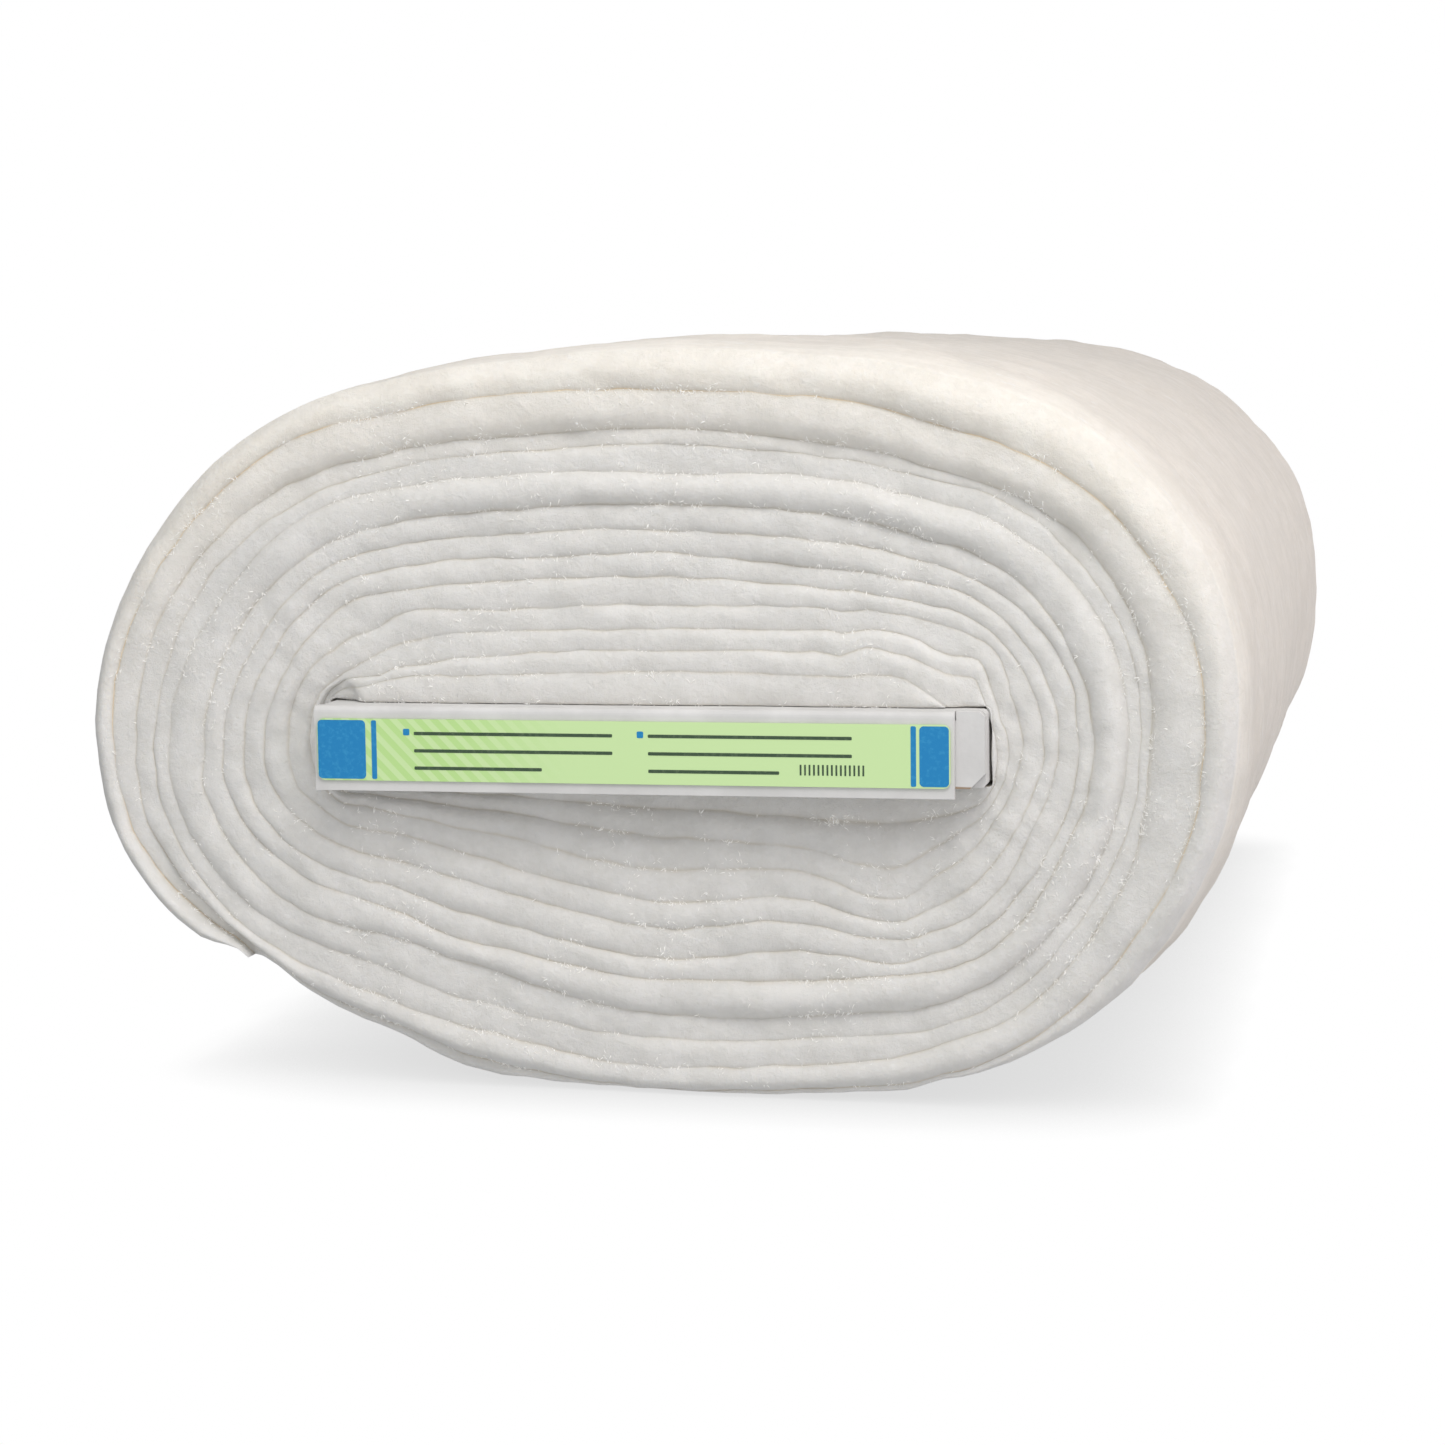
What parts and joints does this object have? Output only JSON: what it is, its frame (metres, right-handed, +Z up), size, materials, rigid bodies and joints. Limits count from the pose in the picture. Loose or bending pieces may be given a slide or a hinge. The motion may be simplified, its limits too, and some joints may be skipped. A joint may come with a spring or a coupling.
{
  "type": "roll of quilt batting on a bolt board",
  "caption": "Thick off-white quilt batting wound in an oval roll round a flat cardboard bolt board, with a plain green label on the board's end.",
  "frame": {"origin": "on the surface that the roll rests on, below the middle of its box", "axes": "+Z up, Y along the roll with the labelled end at -Y, X along the width of the board"},
  "size_m": [0.3582, 0.5876, 0.2302],
  "materials": {
    "batting": "needled cotton batting, matt, slightly fuzzy",
    "board": "white-lined cardboard, matt",
    "label": "printed paper sticker, light satin"
  },
  "bodies": {
    "root": {"batting_roll": "batting", "bolt_board": "board", "side_flap": "board", "tuck_flap": "board", "label": "label"}
  },
  "joints": []
}
